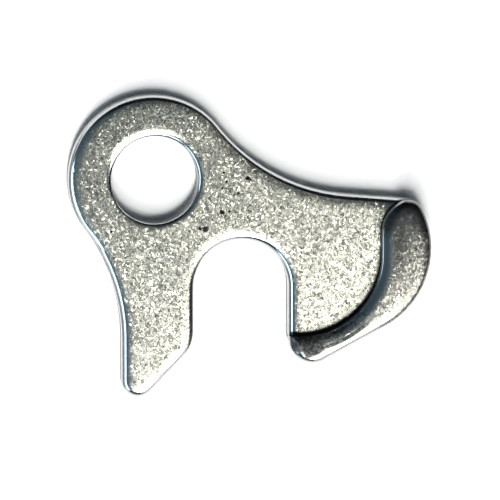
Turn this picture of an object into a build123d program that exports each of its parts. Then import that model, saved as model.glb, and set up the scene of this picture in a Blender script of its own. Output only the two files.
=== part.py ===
from build123d import *
import math
import os

# A rear derailleur hanger, stamped from one steel plate. Millimetres.
# The plate lies on its flat back at z = 0. The origin is the centre of the wheel axle in its slot,
# +X points to the raised lug, and +Y points to the closed end of the slot.

# Plate. The punch rolls the front face over at its edges, in a shallow curve that is rounded into the wall.
plate_thickness = 3.0
roll_width = 1.3             # reach of the shallow curve from the wall
roll_depth = 0.33            # its fall
roll_round = 0.7             # rounding into the wall
back_bevel = 0.3             # tumbled edge round the back face

# Axle slot, open downwards
slot_width = 10.0

# Ear with the derailleur's bore, which lies a little nearer to the slot than the ear's own centre
ear_left = 9.2               # centre of the ear's round end, left of the axle
ear_above = 11.45            # the same centre, above the axle
ear_radius = 8.7
bore_left = 9.0              # bore centre, left of the axle
bore_above = 11.4            # bore centre, above the axle
bore_diameter = 9.1
bore_roll_width = 0.65       # rolled rim of the bore, as on the plate
bore_roll_depth = 0.2
bore_roll_round = 0.35
left_flank_radius = 19.0     # hollow curve from the ear down to the leg
top_flank_radius = 19.3      # hollow curve from the ear to the top edge

# Pointed leg, left of the slot
leg_outer = 12.4             # outer edge of the leg, left of the axle
leg_knee_drop = 6.1          # corner where the slot wall meets the slanted edge, below the axle
leg_slant = 45.5             # degrees
leg_knee_radius = 3.9
leg_tip_radius = 1.65

# Wing, right of the slot
rim_right = 10.6             # centre of the wing's round rim, right of the axle
rim_above = 3.9              # the same centre, above the axle
rim_radius = 9.15
top_edge_rise = 5.65         # top edge, straight over the centre of the rim
top_edge_fall = 5.0          # degrees that the top edge falls to the right
wing_slant = 28.0            # degrees that the wing's lower edge rises to the right
wing_top_radius = 1.5
wing_end_radius = 2.35

# Lug, half-sheared upwards out of the wing
lug_rise = 1.5
lug_width = 5.15             # from the upright run of the step to the rim
step_over_end = 0.4          # level run of the step, over the centre of the wing's round end
step_radius = 8.4            # corner between the level and the upright run
shoulder_radius = 3.4        # from the upright run over to the top edge
shoulder_turn = 76.0         # degrees of that bend
step_roll_width = 1.2        # rolled edge of the lug along the step, where the die leaves it sharp
step_roll_depth = 0.34
step_roll_round = 0.15
rim_roll_width = 1.4         # rolled edge of the lug along the rim
rim_roll_depth = 0.42
rim_roll_round = 0.7
die_clearance = 0.3          # the recess behind the lug is this much smaller all along the step

overreach = 2.0              # the shapes that are cut away run this far past the part


def polar(angle):
    """A unit vector at this many degrees from +X."""
    return Vector(math.cos(math.radians(angle)), math.sin(math.radians(angle)))


def touching_centre(on_line, along, offset, centre, distance):
    """The point this far left of a line and this far from a centre, the last one along the line."""
    foot_line = on_line + Vector(-along.Y, along.X) * offset
    foot = foot_line + along * (centre - foot_line).dot(along)
    return foot + along * math.sqrt(distance**2 - (centre - foot).length ** 2)


def foot_on_line(point, on_line, along):
    """The nearest point of a line."""
    return on_line + along * (point - on_line).dot(along)


def bend(centre, start, end):
    """An arc about a centre, the short way round."""
    middle = ((start - centre) + (end - centre)).normalized() * (start - centre).length
    return ThreePointArc(start, centre + middle, end)


def rolled_off(path, face_height, width, depth, rounding):
    """The metal that a rolled edge lacks along a path, which keeps the part on its right."""
    # The section's x runs inwards from the wall, and its y runs down from the face
    radius = (width**2 + depth**2) / (2 * depth)
    centre = Vector(width, radius)
    wall_top = radius - math.sqrt((radius - rounding) ** 2 - (width - rounding) ** 2)
    round_centre = Vector(rounding, wall_top)
    join = centre + (round_centre - centre).normalized() * radius
    on_face = Vector(width, 0)
    on_wall = Vector(0, wall_top)
    outside = Vector(-overreach, wall_top)
    above = Vector(-overreach, -overreach)
    section = make_face(
        [
            bend(centre, on_face, join),
            bend(round_centre, join, on_wall),
            Polyline(on_wall, outside, above, Vector(width, -overreach), on_face),
        ]
    )
    path = Pos(0, 0, face_height) * path
    along = path % 0
    place = Plane(origin=path @ 0, x_dir=(along.Y, -along.X), z_dir=along)
    return sweep(place * section, path=path)


slot_half = slot_width / 2
axle = Vector(0, 0)
ear = Vector(-ear_left, ear_above)
rim = Vector(rim_right, rim_above)

# Left flank: a hollow arc that touches the ear and the outer edge of the leg
leg_edge = Vector(-leg_outer, 0)
flank = touching_centre(leg_edge, Vector(0, -1), -left_flank_radius, ear, left_flank_radius + ear_radius)
flank_on_ear = ear + (flank - ear).normalized() * ear_radius
flank_on_leg = foot_on_line(flank, leg_edge, Vector(0, 1))

# Leg: a slanted edge between the slot wall and the outer edge
knee_corner = Vector(-slot_half, -leg_knee_drop)
tip_drop = leg_knee_drop + (leg_outer - slot_half) * math.tan(math.radians(leg_slant))
tip_corner = Vector(-leg_outer, -tip_drop)

# Wing: its lower edge is tangent to the rim, and a round end leads from it into the slot wall
to_rim = polar(wing_slant)
rim_low = rim + polar(wing_slant - 90) * rim_radius
wing_end_right = slot_half + wing_end_radius
wing_end_rise = (wing_end_right - rim_low.X) * math.tan(math.radians(wing_slant))
wing_end_lift = wing_end_radius / math.cos(math.radians(wing_slant))
wing_end = Vector(wing_end_right, rim_low.Y + wing_end_rise + wing_end_lift)
wing_end_on_edge = foot_on_line(wing_end, rim_low, to_rim)
wing_end_on_slot = Vector(slot_half, wing_end.Y)

# Top edge: a straight run between a hollow arc that touches the ear and the rim's rounded corner
top_point = rim + Vector(0, top_edge_rise)
to_right = polar(-top_edge_fall)
hollow = touching_centre(top_point, to_right, top_flank_radius, ear, top_flank_radius + ear_radius)
hollow_on_ear = ear + (hollow - ear).normalized() * ear_radius
hollow_on_edge = foot_on_line(hollow, top_point, to_right)
ear_far = ear + (ear - axle).normalized() * ear_radius
wing_top = touching_centre(top_point, to_right, -wing_top_radius, rim, rim_radius - wing_top_radius)
wing_top_on_edge = foot_on_line(wing_top, top_point, to_right)
wing_top_on_rim = rim + (wing_top - rim).normalized() * rim_radius

# Whole outline, clockwise from the slot
slot_left = Vector(-slot_half, 0)
slot_right = Vector(slot_half, 0)
leg_rounds = [leg_knee_radius, leg_tip_radius]
wing_corner = bend(wing_top, wing_top_on_edge, wing_top_on_rim)
wing_rim = bend(rim, wing_top_on_rim, rim_low)
wing_edge = Line(rim_low, wing_end_on_edge)
wing_round = bend(wing_end, wing_end_on_edge, wing_end_on_slot)
outline = Wire(
    [
        *FilletPolyline(slot_left, knee_corner, tip_corner, flank_on_leg, radius=leg_rounds).edges(),
        bend(flank, flank_on_leg, flank_on_ear),
        ThreePointArc(flank_on_ear, ear_far, hollow_on_ear),
        bend(hollow, hollow_on_ear, hollow_on_edge),
        Line(hollow_on_edge, wing_top_on_edge),
        wing_corner,
        wing_rim,
        wing_edge,
        wing_round,
        Line(wing_end_on_slot, slot_right),
        ThreePointArc(slot_right, axle + Vector(0, slot_half), slot_left),
    ]
)
bore = Wire.make_circle(bore_diameter / 2, Plane((-bore_left, bore_above, 0)))

# Step between the flat plate and the lug: level from the slot wall, round the corner, upright, then over
# the shoulder and out across the top edge
heel = Vector(slot_half, wing_end.Y + step_over_end)
step_right = rim_right + rim_radius - lug_width
corner = Vector(step_right - step_radius, heel.Y + step_radius)
shoulder_end = polar(180 - shoulder_turn) * shoulder_radius
shoulder_right = step_right + shoulder_radius
top_run = shoulder_right + shoulder_end.X - rim_right
shoulder_on_edge = top_point + to_right * (top_run / to_right.X)
shoulder = shoulder_on_edge - shoulder_end
past_shoulder = polar(90 - shoulder_turn) * overreach


def step_line(start, inset):
    """The step's edges from this far right of the axle to the top edge, moved this much into the lug."""
    right = Vector(1, 0)
    up = Vector(0, 1)
    corner_low = corner - up * (step_radius + inset)
    corner_right = corner + right * (step_radius + inset)
    shoulder_left = shoulder - right * (shoulder_radius - inset)
    shoulder_top = shoulder + shoulder_end.normalized() * (shoulder_radius - inset)
    return [
        Line(Vector(start, corner_low.Y), corner_low),
        bend(corner, corner_low, corner_right),
        Line(corner_right, shoulder_left),
        bend(shoulder, shoulder_left, shoulder_top),
    ]


def beyond_step(inset):
    """The wing beyond the step, and past the outline, when the step is moved this much into the lug."""
    line = step_line(slot_half - overreach, inset)
    start = line[0] @ 0
    end = line[-1] @ 1 + past_shoulder
    past_wing = rim_right + rim_radius + overreach
    below_wing = wing_end.Y - wing_end_radius - overreach
    around = Polyline(
        line[-1] @ 1,
        end,
        Vector(past_wing, end.Y),
        Vector(past_wing, below_wing),
        Vector(start.X, below_wing),
        start,
    )
    return extrude(make_face([*line, around]), plate_thickness)


# Bevelled blank, as it is stamped out of the sheet
blank = extrude(make_face(outline) - make_face(bore), plate_thickness)
blank = chamfer(blank.edges().group_by(Axis.Z)[0], back_bevel)

# Flat plate, with the wing beyond the step cut away to the size of the punch that raises the lug
plate = blank - rolled_off(outline, plate_thickness, roll_width, roll_depth, roll_round)
plate -= rolled_off(bore, plate_thickness, bore_roll_width, bore_roll_depth, bore_roll_round)
plate -= beyond_step(die_clearance)

# Lug: the same blank beyond the step, raised. The rolls along its step and its rim cross at the heel and
# at the shoulder.
lug_top = lug_rise + plate_thickness
lug = Pos(0, 0, lug_rise) * (blank & beyond_step(0))

before_top = Line(shoulder_on_edge - to_right * overreach, wing_top_on_edge)
past_heel = Line(wing_end_on_slot, heel + Vector(0, overreach))
rim_path = Wire([before_top, wing_corner, wing_rim, wing_edge, wing_round, past_heel])
lug -= rolled_off(rim_path, lug_top, rim_roll_width, rim_roll_depth, rim_roll_round)

past_top = Line(shoulder_on_edge, shoulder_on_edge + past_shoulder)
step_path = Wire([*step_line(heel.X - overreach, 0), past_top])
lug -= rolled_off(step_path, lug_top, step_roll_width, step_roll_depth, step_roll_round)

hanger_plate = plate + lug

os.makedirs("parts", exist_ok=True)
export_step(hanger_plate, "parts/hanger_plate.step")
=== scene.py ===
import math

import bpy
from mathutils import Matrix, Vector


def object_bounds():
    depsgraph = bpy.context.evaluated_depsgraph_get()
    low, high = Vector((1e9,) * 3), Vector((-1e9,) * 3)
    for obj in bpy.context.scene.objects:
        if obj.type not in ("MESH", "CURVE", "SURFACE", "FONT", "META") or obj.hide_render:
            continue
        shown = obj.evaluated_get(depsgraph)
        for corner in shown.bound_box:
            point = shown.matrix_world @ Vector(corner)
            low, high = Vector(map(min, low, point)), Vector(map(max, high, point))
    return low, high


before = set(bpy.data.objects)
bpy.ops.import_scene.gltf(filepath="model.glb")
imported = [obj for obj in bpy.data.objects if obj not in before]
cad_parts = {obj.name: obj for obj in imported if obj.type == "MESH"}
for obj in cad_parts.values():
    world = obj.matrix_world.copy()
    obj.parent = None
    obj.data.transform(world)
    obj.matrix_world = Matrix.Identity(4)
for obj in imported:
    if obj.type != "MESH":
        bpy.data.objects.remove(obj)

cad_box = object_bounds()

# Sizes are metres, as in the frame. Material patterns are laid out in millimetres.
mm = 0.001

# Camera: it looks down from above, a little from the left and from the closed end of the slot
image_pixels = 500
pixels_per_mm = 9.65
camera_distance = 600 * mm
camera_side = Vector((-0.128, 0.147, 1.0)).normalized()
image_centre = Vector((0.933 * mm, 3.886 * mm, 2.45 * mm))
sensor_width = 36.0
nearest_seen = 0.01
farthest_seen = 10.0

# Floor
floor_half = 1.5
floor_gap = 0.02 * mm
floor_white = (0.9, 0.9, 0.9, 1.0)

# Light for the floor, which casts the shadow: a row of small far lamps, from nearly overhead down towards
# the slot's open side, each with its lean and its strength, and a faint bluish fill
row_lamps = [(0.14, 0.55), (0.24, 1.5), (0.35, 0.65), (0.5, 0.5), (0.72, 0.7)]
row_start = 0.05             # sideways lean of the row where it is highest
row_bend = -0.33             # how it goes over towards the leg as it comes down
row_angle = math.radians(10)
row_colour = (1.0, 0.995, 0.985)
fill_angle = math.radians(150)
fill_strength = 0.08
fill_colour = (0.52, 0.74, 1.0)

# Lamps that only the metal reflects. The warm key hangs level, off the slot's open side, and the bluish
# window stands beyond the leg.
key_place = Vector((37 * mm, -65 * mm, 72 * mm))
key_size = (104 * mm, 100 * mm)
key_radiance = 7.7
key_colour = (1.0, 0.97, 0.88)
window_place = Vector((-195 * mm, -85 * mm, 95 * mm))
window_size = (260 * mm, 110 * mm)
window_radiance = 3.8
window_colour = (0.58, 0.80, 1.0)

# The low card lights the lug's rim, and the small spark shines in the round end of the lug
card_place = Vector((79 * mm, -127 * mm, 30 * mm))
card_size = (100 * mm, 55 * mm)
card_radiance = 0.8
card_colour = (1.0, 0.9, 0.93)
spark_place = Vector((-25 * mm, -65 * mm, 95 * mm))
spark_size = (18 * mm, 18 * mm)
spark_radiance = 8.0
spark_colour = (0.72, 0.87, 1.0)

# World: soft grey overhead, dark towards the horizon, with a bluish glow on the ear's side
sky_axis = Vector((0.1, -0.35, 1.0)).normalized()
sky_inner = 0.98
sky_outer = 0.6
sky_bright = (0.165, 0.197, 0.2, 1.0)
sky_dark = (0.010, 0.013, 0.018, 1.0)
glow_axis = Vector((-1.0, -0.1, 0.75)).normalized()
glow_inner = 0.95
glow_outer = 0.55
glow_colour = (0.07, 0.11, 0.14, 1.0)

# Grain of the face: facets per millimetre, how coarsely and how far they are pulled out of shape, and how
# much they tilt
grain_scale = 5.4
pull_scale = 2.6
grain_pull = 0.6
grain_tilt = 0.56

# Black pits in the face: x, y and radius in millimetres
pits = [
    (-1.84, 12.11, 0.20),
    (-1.58, 11.17, 0.18),
    (-2.00, 10.50, 0.17),
    (-0.38, 9.95, 0.20),
    (0.61, 11.49, 0.31),
    (0.97, 11.38, 0.17),
    (-2.05, 8.00, 0.34),
    (-1.32, 8.02, 0.17),
    (-1.74, 7.58, 0.15),
    (-3.77, 6.26, 0.45),
    (-4.34, 6.32, 0.24),
    (-13.53, 6.16, 0.14),
]

# Bore, in millimetres, and the way and the amount that the face dips towards its upper rim
bore_centre = (-9.0, 11.4, 0.0)
bore_radius = 4.55
dip_heading = (0.28, -0.96, 0.0)
dip_tilt = 0.28

# Step beside the lug, in millimetres: the centres and radii of its round corner and of its shoulder
step_centre = (6.2, 3.27, 0.0)
step_radius = 8.4
shoulder_centre = (18.0, 5.68, 0.0)
shoulder_radius = 3.4

# Walls: streaks per millimetre along each axis, and how much higher the lug's wall is torn, in millimetres
streak_scale = (7.0, 7.0, 0.5)
lug_torn_rise = 0.9

# The way to the key across the table, which the edges that shine face
key_heading = (0.5, -0.87, 0.0)

# Colours of the plate
facet_dull = (0.57, 0.58, 0.535, 1.0)
facet_bright = (0.93, 0.91, 0.83, 1.0)
gap_colour = (0.20, 0.20, 0.18, 1.0)
edge_colour = (0.60, 0.62, 0.62, 1.0)
wall_colour = (0.64, 0.62, 0.57, 1.0)
# torn band: real matte tearing, painted darker as shade on the lower wall
torn_and_shade_colour = (0.22, 0.23, 0.23, 1.0)
# painted shade on rounded edges and on the bore's wall
painted_edge_shade_colour = (0.06, 0.06, 0.065, 1.0)
# real pits, and the painted shade in the foot of the step, share this near-black
pit_and_step_shade_colour = (0.02, 0.022, 0.024, 1.0)

# Colours of the lug
roll_colour = (0.42, 0.46, 0.48, 1.0)
fleck_dark = (0.30, 0.33, 0.35, 1.0)
fleck_light = (0.95, 0.95, 0.93, 1.0)
worn_dark = (0.10, 0.106, 0.112, 1.0)
# light ends of the lug's wear tint, painted lighter towards the lug's lower end
wear_painted_dim = (0.24, 0.238, 0.228, 1.0)
wear_painted_bright = (0.44, 0.435, 0.41, 1.0)
# painted highlight on the lug's rim where it faces the key
painted_rim_highlight_colour = (0.60, 0.60, 0.58, 1.0)
# the lug's painted shade, dark with light specks
lug_shade_dark = (0.034, 0.037, 0.040, 1.0)
lug_shade_light = (0.12, 0.122, 0.12, 1.0)

# Roughness of the grain and of the smooth edges, then what the lug, walls, torn bands and the lug's painted
# shade add to it
grain_rough = 0.42
edge_rough = 0.16
lug_rough = 0.02
wall_rough = 0.1
torn_rough = 0.2
lug_shade_rough = 0.3

# Relief: its unit, and how many of them the streaks stand out and the pits go in
relief = 0.008 * mm
streak_height = 0.3
pit_depth = 2.0


class Shader:
    """The node tree of a material or of the world, with one short call for each kind of node."""

    def __init__(self, owner):
        owner.use_nodes = True
        self.tree = owner.node_tree
        self.tree.nodes.clear()

    def node(self, kind, *values, **settings):
        """A node with its settings, and its inputs filled in order by values or by other nodes' outputs."""
        made = self.tree.nodes.new(kind)
        for name, setting in settings.items():
            setattr(made, name, setting)
        for socket, value in zip([s for s in made.inputs if s.enabled], values):
            self.put(socket, value)
        return made

    def put(self, socket, value):
        """Fills one input, by a value or by another node's output."""
        if isinstance(value, bpy.types.NodeSocket):
            self.tree.links.new(value, socket)
        else:
            socket.default_value = value

    def math(self, operation, *values):
        return self.node("ShaderNodeMath", *values, operation=operation).outputs[0]

    def vector(self, operation, *values):
        made = self.node("ShaderNodeVectorMath", *values, operation=operation)
        return [s for s in made.outputs if s.enabled][0]

    def split(self, vector):
        """The three parts of a vector or of a colour."""
        return self.node("ShaderNodeSeparateXYZ", vector).outputs

    def ramp(self, value, low, high, start=0.0, end=1.0):
        """Smoothly from start, where the value is low, to end, where it is high. Each fade in the functions
        below holds such a low and high, and at times a start and end."""
        return self.node(
            "ShaderNodeMapRange", value, low, high, start, end, interpolation_type="SMOOTHSTEP"
        ).outputs[0]

    def both(self, shared, *others):
        """What all these masks share."""
        for mask in others:
            shared = self.math("MULTIPLY", shared, mask)
        return shared

    def either(self, first, second):
        """What one of these masks has, or the other."""
        return self.math("MAXIMUM", first, second)

    def outside(self, mask):
        """What this mask leaves out."""
        return self.math("SUBTRACT", 1.0, mask)

    def noise(self, place, scale, detail):
        """A soft noise, as a number and as a colour."""
        made = self.node("ShaderNodeTexNoise")
        self.put(made.inputs["Vector"], place)
        self.put(made.inputs["Scale"], scale)
        self.put(made.inputs["Detail"], detail)
        return made.outputs

    def pulled(self, place, scale, amount):
        """A place, pulled about by a soft noise."""
        pull = self.noise(place, scale, 1.0)["Color"]
        return self.vector("MULTIPLY_ADD", pull, (amount, amount, 0.0), place)

    def cells(self, place, scale):
        """Irregular cells: a random colour for each, and the distance from its edge."""
        own = self.node("ShaderNodeTexVoronoi", feature="F1")
        edge = self.node("ShaderNodeTexVoronoi", feature="DISTANCE_TO_EDGE")
        for made in (own, edge):
            self.put(made.inputs["Vector"], place)
            self.put(made.inputs["Scale"], scale)
        return own.outputs["Color"], edge.outputs["Distance"]

    def mix(self, share, first, second):
        """A colour between two others, nearer to the second as the share grows."""
        made = self.node("ShaderNodeMix", data_type="RGBA")
        self.put(made.inputs["Factor"], share)
        colours = [s for s in made.inputs if s.type == "RGBA"]
        self.put(colours[0], first)
        self.put(colours[1], second)
        return [s for s in made.outputs if s.type == "RGBA"][0]


class Spot:
    """A spot on the steel: where it lies, in millimetres, how it faces, and what region it belongs to."""

    def __init__(self, shade):
        wall_fade = (0.4, 0.15)
        lug_fade = (3.2, 3.5)
        arm_fade = (0.55, 0.8)

        metres = shade.node("ShaderNodeTexCoord").outputs["Object"]
        self.place = shade.vector("MULTIPLY", metres, (1 / mm, 1 / mm, 1 / mm))
        self.flat = shade.vector("MULTIPLY", self.place, (1.0, 1.0, 0.0))
        self.x, self.y, self.z = shade.split(self.place)
        self.normal = shade.node("ShaderNodeNewGeometry").outputs["Normal"]
        self.faces_x, self.faces_y, faces_z = shade.split(self.normal)
        self.upward = shade.math("ABSOLUTE", faces_z)
        self.towards_key = shade.vector("DOT_PRODUCT", self.normal, key_heading)
        self.from_bore = shade.vector("DISTANCE", self.flat, bore_centre)
        self.beyond, self.run = self.past_step(shade)

        self.on_right = shade.math("GREATER_THAN", self.x, 0.0)
        self.on_wall = shade.ramp(self.upward, *wall_fade)
        self.on_lug = shade.ramp(self.z, *lug_fade)
        self.on_arm = shade.ramp(self.run, *arm_fade)

    def past_step(self, shade):
        """How far it lies beyond the step, and how the step runs there: from 0, upright, to 1, level."""
        around = shade.vector("SUBTRACT", self.place, step_centre)
        around = shade.vector("MULTIPLY", around, (1.0, -1.0, 0.0))
        around = shade.vector("MAXIMUM", around, (0.0, 0.0, 0.0))
        reach = shade.vector("LENGTH", around)
        run = shade.math("DIVIDE", shade.split(around)["Y"], reach)
        past_corner = shade.math("SUBTRACT", reach, step_radius)
        past_shoulder = shade.vector("DISTANCE", self.flat, shoulder_centre)
        past_shoulder = shade.math("SUBTRACT", shoulder_radius, past_shoulder)
        above = shade.math("GREATER_THAN", self.y, shoulder_centre[1])
        return shade.node("ShaderNodeMix", above, past_corner, past_shoulder).outputs[0], run


def level_face(shade, spot):
    """The face that keeps its grain. Edges that face the ear lose it sooner than others, and the bore's
    upper rim has none."""
    side_gain = 0.125
    right_gain = 0.175
    level_fade = (0.93, 1.0)
    rim_fade = (bore_radius + 0.75, bore_radius + 0.65)
    shine_fade = (0.02, 0.1)

    flatness = shade.math("MULTIPLY_ADD", shade.math("ABSOLUTE", spot.faces_x), side_gain, spot.upward)
    flatness = shade.math("MULTIPLY_ADD", spot.faces_x, right_gain, flatness)
    polished = shade.both(shade.ramp(spot.from_bore, *rim_fade), shade.ramp(spot.towards_key, *shine_fade))
    return shade.both(shade.ramp(flatness, *level_fade), shade.outside(polished))


def facets(shade, spot, level):
    """Small facets, pressed flat on the lug beside the step: where they tilt, then the tint and the tilt of
    each, and the gaps between them."""
    press_slant = -0.3
    press_fade = (0.4, 2.4, 0.85, 0.45)
    gap_fade = (0.2, 0.06, 0.0, 0.85)
    middle_colour = (0.5, 0.5, 0.5)

    from_press = shade.math("MULTIPLY_ADD", spot.y, press_slant, spot.beyond)
    pressed = shade.both(spot.on_lug, shade.ramp(from_press, *press_fade))
    tilted = shade.both(level, shade.outside(pressed))
    own, edge = shade.cells(shade.pulled(spot.place, pull_scale, grain_pull), grain_scale)
    tint = shade.split(own)["Z"]
    tilt = shade.vector("SUBTRACT", own, middle_colour)
    tilt = shade.vector("MULTIPLY", tilt, (grain_tilt, grain_tilt, 0.0))
    tilt = shade.vector("SCALE", tilt, shade.both(tilted, tint))
    gap = shade.both(tilted, shade.ramp(edge, *gap_fade))
    return tilted, tint, tilt, gap


def bore_dip(shade, spot):
    """The tilt of the face where it dips towards the bore's upper rim."""
    upper_fade = (2.4, 4.8)
    front_fade = (2.5, 2.7)
    outer_fade = (bore_radius + 1.05, bore_radius + 0.65)
    inner_fade = (bore_radius + 0.35, bore_radius + 0.6)

    to_centre = shade.vector("SUBTRACT", bore_centre, spot.flat)
    dipped = shade.both(
        shade.ramp(shade.vector("DOT_PRODUCT", to_centre, dip_heading), *upper_fade),
        shade.ramp(spot.z, *front_fade),
        shade.ramp(spot.from_bore, *outer_fade),
        shade.ramp(spot.from_bore, *inner_fade),
    )
    return shade.vector("SCALE", dip_heading, shade.math("MULTIPLY", dipped, dip_tilt))


def pitting(shade, spot):
    """Pits in the front face, each with a ragged edge."""
    ragged_scale = 6.0
    ragged_detail = 2.0
    ragged_width = 0.4
    pit_core = 0.5
    front_fade = (2.5, 2.9)

    ragged = shade.noise(spot.place, ragged_scale, ragged_detail)["Fac"]
    ragged = shade.math("MULTIPLY_ADD", ragged, ragged_width, -ragged_width / 2)
    pitted = 0.0
    for x, y, radius in pits:
        away = shade.math("ADD", shade.vector("DISTANCE", spot.flat, (x, y, 0.0)), ragged)
        pitted = shade.either(pitted, shade.ramp(away, radius, radius * pit_core))
    return shade.both(pitted, shade.ramp(spot.z, *front_fade))


def painted_step_shade(shade, spot):
    """Painted shade in the foot of the step, wider along its level run."""
    upright_width = 0.2
    level_gain = 0.28
    plate_fade = (-0.1, 0.2)
    lug_fade = (0.5, 0.3)
    top_fade = (3.25, 3.05)
    low_fade = (2.4, 2.6)

    width = shade.math("MULTIPLY_ADD", spot.run, level_gain, upright_width)
    return shade.both(
        shade.ramp(shade.math("ADD", spot.beyond, width), *plate_fade),
        shade.ramp(spot.beyond, *lug_fade),
        shade.ramp(spot.z, *top_fade),
        shade.ramp(spot.z, *low_fade),
        spot.on_right,
    )


def torn_band(shade, spot, streaks):
    """A matte torn band on the walls, below the shiny sheared one, and higher on the lug's wall; its dark
    colour is partly painted shade.
    """
    lug_start = 0.05
    waver = 0.4
    torn_fade = (1.45, 1.25)

    raised = shade.both(spot.on_right, shade.math("GREATER_THAN", spot.beyond, lug_start))
    height = shade.math("MULTIPLY_ADD", streaks, waver, spot.z)
    height = shade.math("MULTIPLY_ADD", raised, -lug_torn_rise, height)
    return shade.both(spot.on_wall, shade.ramp(height, *torn_fade))


def painted_edge_shade(shade, spot):
    """Painted shade: the rounded edges of the leg and the bore that face the lug darkened, then, fainter, a
    thin line under the rounded edges that face away from it, and the bore's wall."""
    turn_loss = -0.8
    square_fade = (0.2, 0.5)
    away_fade = (-0.72, -0.8)
    under_fade = (0.15, 0.3)
    bore_fade = (bore_radius + 0.15, bore_radius + 0.05)
    faint = 0.8

    square_on = shade.math("MULTIPLY_ADD", shade.math("ABSOLUTE", spot.faces_y), turn_loss, spot.faces_x)
    edges = shade.both(
        shade.ramp(square_on, *square_fade), shade.outside(spot.on_lug), shade.outside(spot.on_right)
    )
    under = shade.both(shade.ramp(spot.faces_x, *away_fade), shade.ramp(spot.upward, *under_fade))
    in_bore = shade.both(spot.on_wall, shade.ramp(spot.from_bore, *bore_fade))
    return shade.either(edges, shade.math("MULTIPLY", shade.either(under, in_bore), faint))


def painted_lug_shade(shade, spot):
    """Painted shade on the lug: its heel darkened, and its arm as far as the crest between the two rolled
    edges.
    """
    rim_fade = (0.36, 0.16)
    slot_fade = (-0.2, -0.14)
    heel_fade = (9.8, 7.6)
    roll_fade = (1.65, 1.35)
    crest_fade = (0.1, -0.02)

    heel = shade.both(
        shade.ramp(shade.math("SUBTRACT", spot.faces_x, spot.faces_y), *rim_fade),
        shade.ramp(spot.faces_x, *slot_fade),
        shade.ramp(spot.x, *heel_fade),
    )
    arm = shade.both(
        spot.on_arm, shade.ramp(spot.beyond, *roll_fade), shade.ramp(spot.faces_y, *crest_fade)
    )
    return shade.both(spot.on_lug, shade.either(heel, arm))


def lug_colour(shade, spot, tint, speck):
    """Smooth roll beside the step, flecked along the arm, a face of wear painted lighter lower down,
    and a painted highlight on the rim where it faces the key.
    """
    painted_light_fade = (4.5, 0.5)
    roll_fade = (0.7, 1.4)
    shoulder_fade = (4.5, 6.5)
    rim_fade = (0.12, 0.3)

    roll = shade.mix(spot.on_arm, roll_colour, shade.mix(speck, fleck_dark, fleck_light))
    # painted light: the face is lighter towards the lug's lower end
    wear_painted_light = shade.mix(shade.ramp(spot.y, *painted_light_fade), wear_painted_dim, wear_painted_bright)
    wear_and_painted_light = shade.mix(tint, worn_dark, wear_painted_light)
    past_roll = shade.either(shade.ramp(spot.beyond, *roll_fade), shade.ramp(spot.y, *shoulder_fade))
    # painted highlight where the rim faces the key
    painted_rim_highlight = shade.both(spot.on_arm, shade.ramp(spot.towards_key, *rim_fade))
    return shade.mix(painted_rim_highlight, shade.mix(past_roll, roll, wear_and_painted_light), painted_rim_highlight_colour)


def steel_material():
    """Tumbled bright steel: a grain of small facets, pits, smooth rolled edges and streaked walls, with
    painted shade and a painted highlight.
    """
    streak_detail = 2.0
    speck_fade = (0.3, 1.0)

    material = bpy.data.materials.new("tumbled_steel")
    shade = Shader(material)
    spot = Spot(shade)
    level = level_face(shade, spot)
    tilted, tint, tilt, gap = facets(shade, spot, level)
    speck = shade.ramp(tint, *speck_fade)
    pitted = pitting(shade, spot)
    streaks = shade.noise(shade.vector("MULTIPLY", spot.place, streak_scale), 1.0, streak_detail)["Fac"]
    torn = torn_band(shade, spot, streaks)
    # painted shade on the lug's heel and arm
    painted_lug_shade_mask = painted_lug_shade(shade, spot)

    # Colour: facets over the smooth steel, then each layer over the ones before it
    smooth = shade.mix(spot.on_lug, edge_colour, lug_colour(shade, spot, tint, speck))
    grained = shade.both(level, shade.outside(spot.on_lug))
    colour = shade.mix(grained, smooth, shade.mix(tint, facet_dull, facet_bright))
    layers = [
        (gap, gap_colour),
        (spot.on_wall, wall_colour),
        # painted shade on edges and on the bore's wall
        (painted_edge_shade(shade, spot), painted_edge_shade_colour),
        # painted shade on the lug
        (painted_lug_shade_mask, shade.mix(speck, lug_shade_dark, lug_shade_light)),
        # torn band, its darkness partly painted shade
        (torn, torn_and_shade_colour),
        # pits, and painted shade in the foot of the step
        (shade.either(pitted, painted_step_shade(shade, spot)), pit_and_step_shade_colour),
    ]
    for share, layer in layers:
        colour = shade.mix(share, colour, layer)

    rough = shade.math("MULTIPLY_ADD", tilted, grain_rough - edge_rough, edge_rough)
    rough = shade.math("MULTIPLY_ADD", spot.on_lug, lug_rough, rough)
    rough = shade.math("MULTIPLY_ADD", spot.on_wall, wall_rough, rough)
    rough = shade.math("MULTIPLY_ADD", torn, torn_rough, rough)
    rough = shade.math("MULTIPLY_ADD", painted_lug_shade_mask, lug_shade_rough, rough)

    tilt = shade.vector("ADD", tilt, bore_dip(shade, spot))
    normal = shade.vector("NORMALIZE", shade.vector("ADD", spot.normal, tilt))
    height = shade.math("MULTIPLY", shade.both(streaks, spot.on_wall), streak_height)
    height = shade.math("MULTIPLY_ADD", pitted, -pit_depth, height)
    bump = shade.node("ShaderNodeBump")
    shade.put(bump.inputs["Strength"], 1.0)
    shade.put(bump.inputs["Distance"], relief)
    shade.put(bump.inputs["Height"], height)
    shade.put(bump.inputs["Normal"], normal)

    surface = shade.node("ShaderNodeBsdfPrincipled")
    shade.put(surface.inputs["Metallic"], 1.0)
    shade.put(surface.inputs["Base Color"], colour)
    shade.put(surface.inputs["Roughness"], rough)
    shade.put(surface.inputs["Normal"], bump.outputs["Normal"])
    shade.node("ShaderNodeOutputMaterial", surface.outputs[0])
    return material


def add_object(name, data):
    made = bpy.data.objects.new(name, data)
    bpy.context.scene.collection.objects.link(made)
    return made


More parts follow.
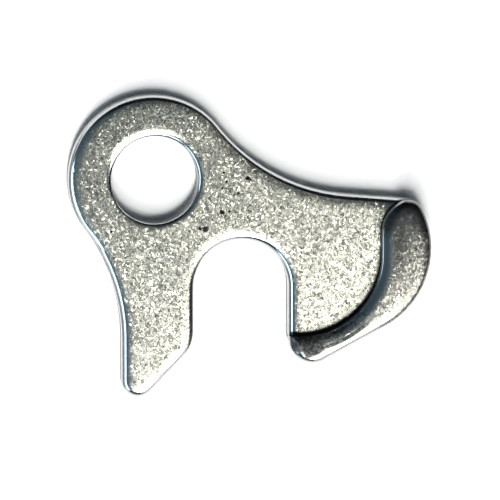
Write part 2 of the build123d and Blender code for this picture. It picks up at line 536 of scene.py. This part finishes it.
def add_floor():
    mesh = bpy.data.meshes.new("floor")
    corners = [(-1, -1), (1, -1), (1, 1), (-1, 1)]
    mesh.from_pydata([(x * floor_half, y * floor_half, 0.0) for x, y in corners], [], [(0, 1, 2, 3)])
    material = bpy.data.materials.new("white_table")
    shade = Shader(material)
    surface = shade.node("ShaderNodeBsdfDiffuse", floor_white)
    shade.node("ShaderNodeOutputMaterial", surface.outputs[0])
    mesh.materials.append(material)
    floor = add_object("floor", mesh)
    floor.location.z = cad_box[0].z - floor_gap


def add_lamp(name, shape, size, place, aim, radiance, colour):
    """A soft flat lamp that only the metal reflects. Its power follows from its size and its radiance."""
    lamp = bpy.data.lights.new(name, "AREA")
    lamp.shape = shape
    lamp.size, lamp.size_y = size
    area = size[0] * size[1] * (math.pi / 4 if shape == "ELLIPSE" else 1.0)
    lamp.energy = radiance * math.pi * area
    lamp.color = colour
    made = add_object(name, lamp)
    made.location = place
    made.rotation_euler = (place - aim).to_track_quat("Z", "Y").to_euler()
    made.visible_camera = False
    made.visible_diffuse = False


def add_sun(name, side, angle, strength, colour):
    """Far light for the floor, which the metal doesn't reflect."""
    sun = bpy.data.lights.new(name, "SUN")
    sun.angle = angle
    sun.energy = strength
    sun.color = colour
    made = add_object(name, sun)
    made.rotation_euler = side.to_track_quat("Z", "Y").to_euler()
    made.visible_glossy = False


def add_world():
    world = bpy.data.worlds.new("studio")
    bpy.context.scene.world = world
    shade = Shader(world)
    towards = shade.node("ShaderNodeTexCoord").outputs["Generated"]
    overhead = shade.vector("DOT_PRODUCT", towards, sky_axis)
    colour = shade.mix(shade.ramp(overhead, sky_outer, sky_inner), sky_dark, sky_bright)
    beside = shade.vector("DOT_PRODUCT", towards, glow_axis)
    colour = shade.mix(shade.ramp(beside, glow_outer, glow_inner), colour, glow_colour)
    background = shade.node("ShaderNodeBackground", colour)
    shade.node("ShaderNodeOutputWorld", background.outputs[0])


def add_camera():
    right = Vector((0.0, 1.0, 0.0)).cross(camera_side).normalized()
    up = camera_side.cross(right)
    camera = bpy.data.cameras.new("camera")
    camera.sensor_width = sensor_width
    camera.lens = sensor_width * camera_distance / (image_pixels / pixels_per_mm * mm)
    camera.clip_start = nearest_seen
    camera.clip_end = farthest_seen
    made = add_object("camera", camera)
    axes = Matrix((right, up, camera_side)).transposed()
    made.matrix_world = Matrix.Translation(image_centre + camera_side * camera_distance) @ axes.to_4x4()
    bpy.context.scene.camera = made


steel = steel_material()
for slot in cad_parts["hanger_plate"].material_slots:
    slot.material = steel

add_floor()
for lean, strength in row_lamps:
    add_sun("row", Vector((row_start + row_bend * lean, -lean, 1.0)), row_angle, strength, row_colour)
add_sun("fill", Vector((0.0, 0.0, 1.0)), fill_angle, fill_strength, fill_colour)
below_key = Vector((key_place.x, key_place.y, 0.0))
add_lamp("key", "ELLIPSE", key_size, key_place, below_key, key_radiance, key_colour)
add_lamp("window", "RECTANGLE", window_size, window_place, Vector(), window_radiance, window_colour)
add_lamp("card", "RECTANGLE", card_size, card_place, Vector(), card_radiance, card_colour)
add_lamp("spark", "ELLIPSE", spark_size, spark_place, Vector(), spark_radiance, spark_colour)
add_world()
add_camera()
bpy.context.scene.view_settings.view_transform = "Standard"
